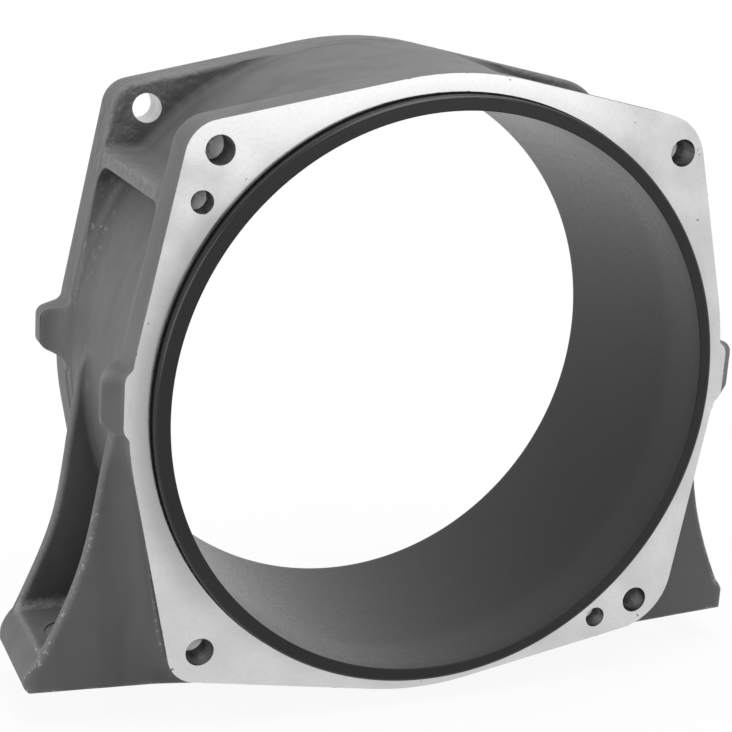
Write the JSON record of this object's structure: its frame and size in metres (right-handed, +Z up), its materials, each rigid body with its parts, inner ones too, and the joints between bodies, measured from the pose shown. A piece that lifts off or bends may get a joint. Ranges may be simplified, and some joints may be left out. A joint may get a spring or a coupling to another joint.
{
  "type": "jet pump housing",
  "caption": "Cast housing of a watercraft jet pump: a short barrel between a machined front flange and a rear flange, carried on hollow feet, with a plastic wear ring in its bore.",
  "frame": {"origin": "where the bore axis meets the machined front face", "axes": "+Y into the bore from the front face, +Z up, +X to the right seen from the front; the feet point down"},
  "size_m": [0.2171, 0.0771, 0.1777],
  "materials": {
    "painted_casting": "satin dark grey paint over a cast surface, with a bare machined front face",
    "liner_plastic": "satin black plastic"
  },
  "bodies": {
    "root": {"housing": "painted_casting", "wear_ring": "liner_plastic"}
  },
  "joints": []
}
